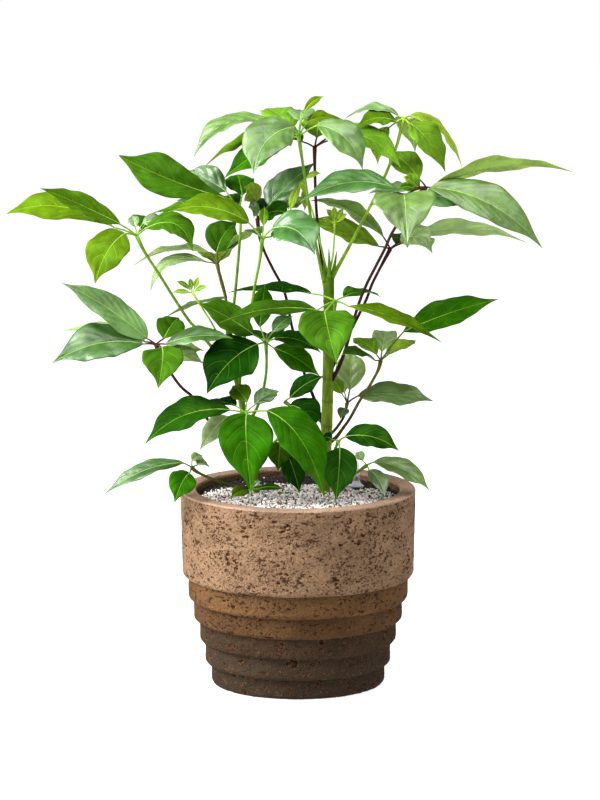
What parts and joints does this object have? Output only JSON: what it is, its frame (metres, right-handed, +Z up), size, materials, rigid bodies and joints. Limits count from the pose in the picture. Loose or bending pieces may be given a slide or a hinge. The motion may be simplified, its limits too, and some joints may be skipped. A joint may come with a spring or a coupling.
{
  "type": "potted umbrella plant",
  "caption": "Umbrella plant with glossy hand-shaped leaves in a round stepped planter of pitted stone-look stucco, with soil, pale gravel and a water gauge.",
  "frame": {"origin": "on the ground, at the centre of the planter's underside", "axes": "+Z up along the planter's axis; -Y is the front that the picture shows; +X is to the right seen from the front"},
  "size_m": [0.8444, 0.3895, 0.8877],
  "materials": {
    "pitted_stucco": "matt, pitted like travertine, pinkish tan on the rim band and darker brown on the rings below",
    "potting_soil": "matt, crumbly, dark brown with a few white specks",
    "gravel": "matt, loose white, brown and grey grains",
    "foliage": "semi-gloss leaf, paler and matt underneath, on smooth stalks",
    "gauge_plastic": "satin",
    "clear_tube": "clear",
    "float_plastic": "gloss"
  },
  "bodies": {
    "plant": {"pot": "pitted_stucco", "soil": "potting_soil", "stone_layer": "gravel", "leafy_stem_main": "foliage", "leafy_stem_left": "foliage", "gauge_foot": "gauge_plastic", "gauge_tube": "clear_tube"},
    "float": {"gauge_float": "float_plastic"}
  },
  "joints": [
    {"name": "float_rise", "type": "slide", "parent": "plant", "child": "float", "axis": [0, 0, 1], "range_m": [0, 0.02]}
  ]
}
